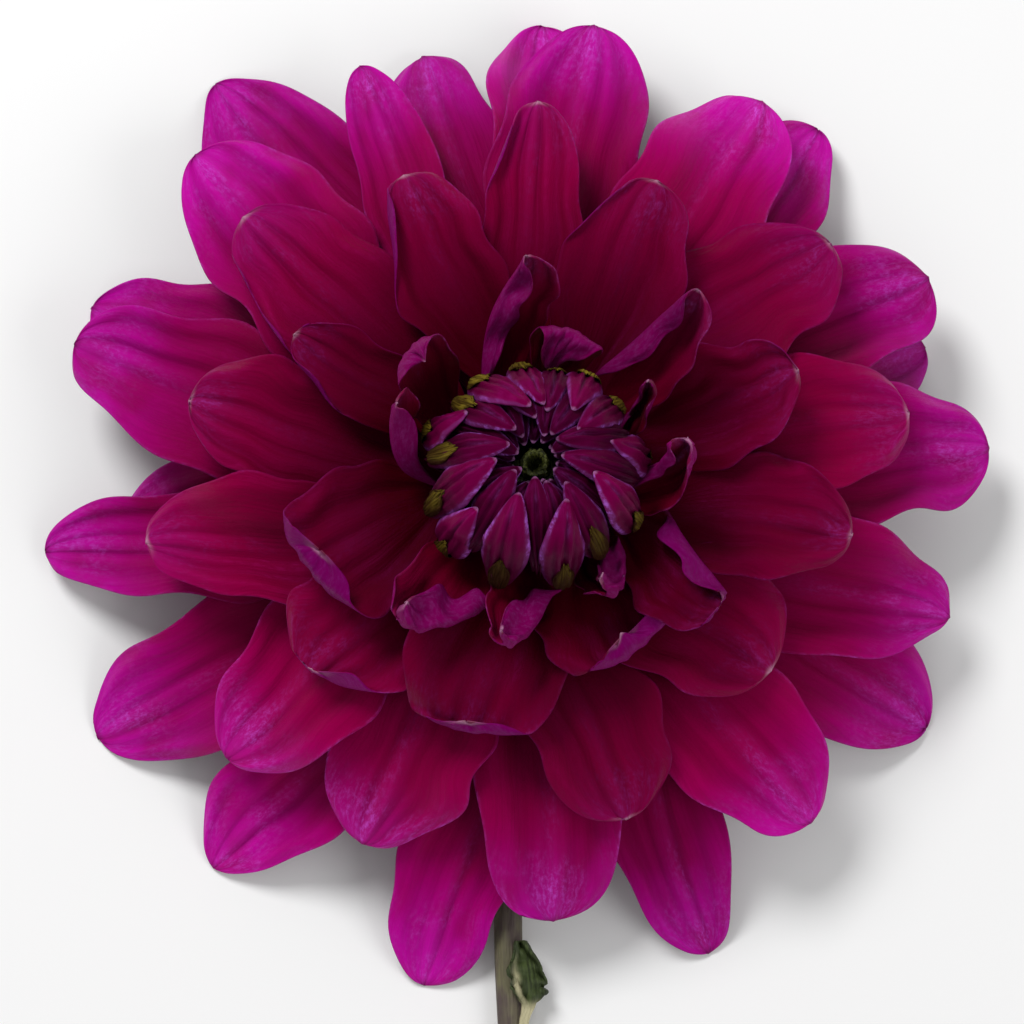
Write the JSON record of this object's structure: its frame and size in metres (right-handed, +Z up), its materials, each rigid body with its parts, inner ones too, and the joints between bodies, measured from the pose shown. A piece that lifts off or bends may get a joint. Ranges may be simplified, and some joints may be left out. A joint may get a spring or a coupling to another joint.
{
  "type": "dahlia flower",
  "caption": "Cut dahlia flower head with magenta petals round a dark closed middle, lying on its back petals and short stem with the head facing up",
  "frame": {"origin": "middle of the underside of the whole flower's box, on the surface that it lies on", "axes": "+Z up and out of the head's face, +Y from the cut end of the stem towards the head, +X to the right as the head is seen from above with the stem towards the viewer"},
  "size_m": [0.121, 0.1622, 0.0448],
  "materials": {
    "outer_petals": "soft satin magenta petal with lilac tip and fine veins",
    "middle_petals": "satin crimson to plum petal, darker towards its foot",
    "inner_petals": "satin violet petal, half open, frosted at the folds",
    "closed_florets": "closed violet florets with frosted lilac edges and olive scales at the foot",
    "receptacle": "pale green fleshy tissue",
    "calyx": "matt green bracts",
    "stem": "satin grey green stem flushed with brown",
    "stem_leaf": "matt dark green crumpled leaf"
  },
  "bodies": {
    "root": {"outer_petal_01": "outer_petals", "outer_petal_02": "outer_petals", "outer_petal_03": "outer_petals", "outer_petal_04": "outer_petals", "outer_petal_05": "outer_petals", "outer_petal_06": "outer_petals", "outer_petal_07": "outer_petals", "outer_petal_08": "outer_petals", "outer_petal_09": "outer_petals", "outer_petal_10": "outer_petals", "outer_petal_11": "outer_petals", "outer_petal_12": "outer_petals", "outer_petal_13": "outer_petals", "outer_petal_14": "outer_petals", "outer_petal_15": "outer_petals", "outer_petal_16": "outer_petals", "outer_petal_17": "outer_petals", "outer_petal_18": "outer_petals", "outer_petal_19": "outer_petals", "outer_petal_20": "outer_petals", "outer_petal_21": "outer_petals", "outer_petal_22": "outer_petals", "outer_petal_23": "outer_petals", "outer_petal_24": "outer_petals", "outer_petal_25": "outer_petals", "middle_petal_01": "middle_petals", "middle_petal_02": "middle_petals", "middle_petal_03": "middle_petals", "middle_petal_04": "middle_petals", "middle_petal_05": "middle_petals", "middle_petal_06": "middle_petals", "middle_petal_07": "middle_petals", "middle_petal_08": "middle_petals", "middle_petal_09": "middle_petals", "middle_petal_10": "middle_petals", "middle_petal_11": "middle_petals", "middle_petal_12": "middle_petals", "middle_petal_13": "middle_petals", "middle_petal_14": "middle_petals", "middle_petal_15": "middle_petals", "middle_petal_16": "middle_petals", "middle_petal_17": "middle_petals", "middle_petal_18": "middle_petals", "inner_petal_01": "inner_petals", "inner_petal_02": "inner_petals", "inner_petal_03": "inner_petals", "inner_petal_04": "inner_petals", "inner_petal_05": "inner_petals", "inner_petal_06": "inner_petals", "inner_petal_07": "inner_petals", "inner_petal_08": "inner_petals", "inner_petal_09": "inner_petals", "inner_petal_10": "inner_petals", "closed_florets": "closed_florets", "receptacle": "receptacle", "calyx": "calyx", "stem": "stem", "stem_leaf": "stem_leaf"}
  },
  "joints": []
}
